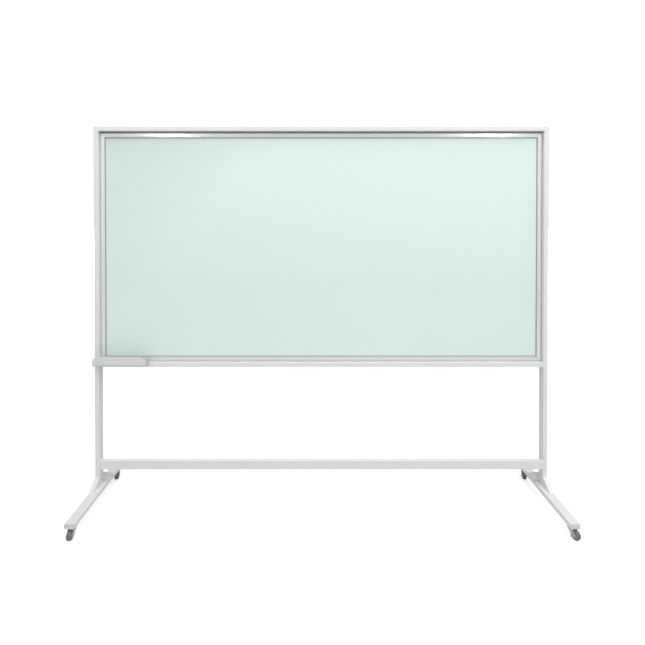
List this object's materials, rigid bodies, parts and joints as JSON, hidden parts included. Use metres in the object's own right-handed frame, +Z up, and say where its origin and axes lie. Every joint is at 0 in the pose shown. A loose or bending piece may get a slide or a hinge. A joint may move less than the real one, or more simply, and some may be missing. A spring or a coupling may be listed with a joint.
{
  "type": "rolling whiteboard",
  "caption": "Mobile glass whiteboard: pale green painted-glass panel in an aluminium frame, held in a welded tube stand with floor feet, swivel casters and a small pen tray.",
  "frame": {"origin": "on the floor, under the centre of the whole object's bounding box", "axes": "+Z up; +X along the board's length, to the right for someone who faces the writing side; the writing side faces -Y"},
  "size_m": [2.5, 0.612, 2.066],
  "materials": {
    "frame_paint": "light grey satin powder coat with a very fine orange peel",
    "board_frame_aluminium": "silver anodised, fine brushing along each length",
    "painted_glass": "clear polished float glass, painted on its rear face, pale blue-green",
    "core_board": "raw fibreboard",
    "back_sheet_steel": "grey coated sheet, matt",
    "gasket_rubber": "matt grey rubber",
    "zinc_steel": "bright zinc plate",
    "grey_plastic": "light grey moulded, fine grain",
    "tray_aluminium": "silver anodised sheet, satin",
    "tray_cap_plastic": "grey moulded, fine grain",
    "caster_zinc": "dull zinc plate on pressed steel",
    "bearing_steel": "polished steel with a film of grease",
    "hub_plastic": "mid grey moulded",
    "tyre_rubber": "dark grey-brown rubber, matt"
  },
  "bodies": {
    "root": {"upright_left": "frame_paint", "upright_right": "frame_paint", "top_rail": "frame_paint", "middle_rail": "frame_paint", "bottom_crossbar": "frame_paint", "foot_tube_left": "frame_paint", "foot_tube_right": "frame_paint", "gusset_front_left": "frame_paint", "gusset_front_right": "frame_paint", "gusset_rear_left": "frame_paint", "gusset_rear_right": "frame_paint", "stop_strip_top": "frame_paint", "stop_strip_bottom": "frame_paint", "stop_strip_left": "frame_paint", "stop_strip_right": "frame_paint", "board_frame_top": "board_frame_aluminium", "board_frame_bottom": "board_frame_aluminium", "board_frame_left": "board_frame_aluminium", "board_frame_right": "board_frame_aluminium", "glass_panel": "painted_glass", "backing_core": "core_board", "back_sheet": "back_sheet_steel", "glass_gasket": "gasket_rubber", "glass_setting_blocks": "gasket_rubber", "corner_keys": "zinc_steel", "board_screws": "zinc_steel", "tray_screws": "zinc_steel", "crossbar_bolts": "zinc_steel", "crossbar_end_blocks": "zinc_steel", "caster_weld_nuts": "zinc_steel", "access_hole_plugs": "grey_plastic", "foot_end_caps": "grey_plastic", "pen_tray": "tray_aluminium", "tray_end_cap_left": "tray_cap_plastic", "tray_end_cap_right": "tray_cap_plastic", "caster_stem_front_left": "caster_zinc", "caster_stem_front_right": "caster_zinc", "caster_stem_rear_left": "caster_zinc", "caster_stem_rear_right": "caster_zinc"},
    "fork_front_left": {"caster_fork_front_left": "caster_zinc", "caster_axle_front_left": "caster_zinc", "caster_balls_front_left": "bearing_steel"},
    "wheel_front_left": {"caster_hub_front_left": "hub_plastic", "caster_tyre_front_left": "tyre_rubber"},
    "fork_front_right": {"caster_fork_front_right": "caster_zinc", "caster_axle_front_right": "caster_zinc", "caster_balls_front_right": "bearing_steel"},
    "wheel_front_right": {"caster_hub_front_right": "hub_plastic", "caster_tyre_front_right": "tyre_rubber"},
    "fork_rear_left": {"caster_fork_rear_left": "caster_zinc", "caster_axle_rear_left": "caster_zinc", "caster_balls_rear_left": "bearing_steel"},
    "wheel_rear_left": {"caster_hub_rear_left": "hub_plastic", "caster_tyre_rear_left": "tyre_rubber"},
    "fork_rear_right": {"caster_fork_rear_right": "caster_zinc", "caster_axle_rear_right": "caster_zinc", "caster_balls_rear_right": "bearing_steel"},
    "wheel_rear_right": {"caster_hub_rear_right": "hub_plastic", "caster_tyre_rear_right": "tyre_rubber"}
  },
  "joints": [
    {"name": "swivel_front_left", "type": "hinge", "parent": "root", "child": "fork_front_left", "pos_m": [-1.225, -0.261, 0.051], "axis": [0, 0, 1], "continuous": true},
    {"name": "roll_front_left", "type": "hinge", "parent": "fork_front_left", "child": "wheel_front_left", "pos_m": [-1.225, -0.283, 0.023], "axis": [1, 0, 0], "continuous": true},
    {"name": "swivel_front_right", "type": "hinge", "parent": "root", "child": "fork_front_right", "pos_m": [1.225, -0.261, 0.051], "axis": [0, 0, 1], "continuous": true},
    {"name": "roll_front_right", "type": "hinge", "parent": "fork_front_right", "child": "wheel_front_right", "pos_m": [1.23288, -0.28154, 0.023], "axis": [0.9336, 0.3584, 0], "continuous": true},
    {"name": "swivel_rear_left", "type": "hinge", "parent": "root", "child": "fork_rear_left", "pos_m": [-1.225, 0.273, 0.051], "axis": [0, 0, 1], "continuous": true},
    {"name": "roll_rear_left", "type": "hinge", "parent": "fork_rear_left", "child": "wheel_rear_left", "pos_m": [-1.22043, 0.25148, 0.023], "axis": [0.9781, 0.2079, 0], "continuous": true},
    {"name": "swivel_rear_right", "type": "hinge", "parent": "root", "child": "fork_rear_right", "pos_m": [1.225, 0.273, 0.051], "axis": [0, 0, 1], "continuous": true},
    {"name": "roll_rear_right", "type": "hinge", "parent": "fork_rear_right", "child": "wheel_rear_right", "pos_m": [1.22043, 0.25148, 0.023], "axis": [0.9781, -0.2079, 0], "continuous": true}
  ]
}
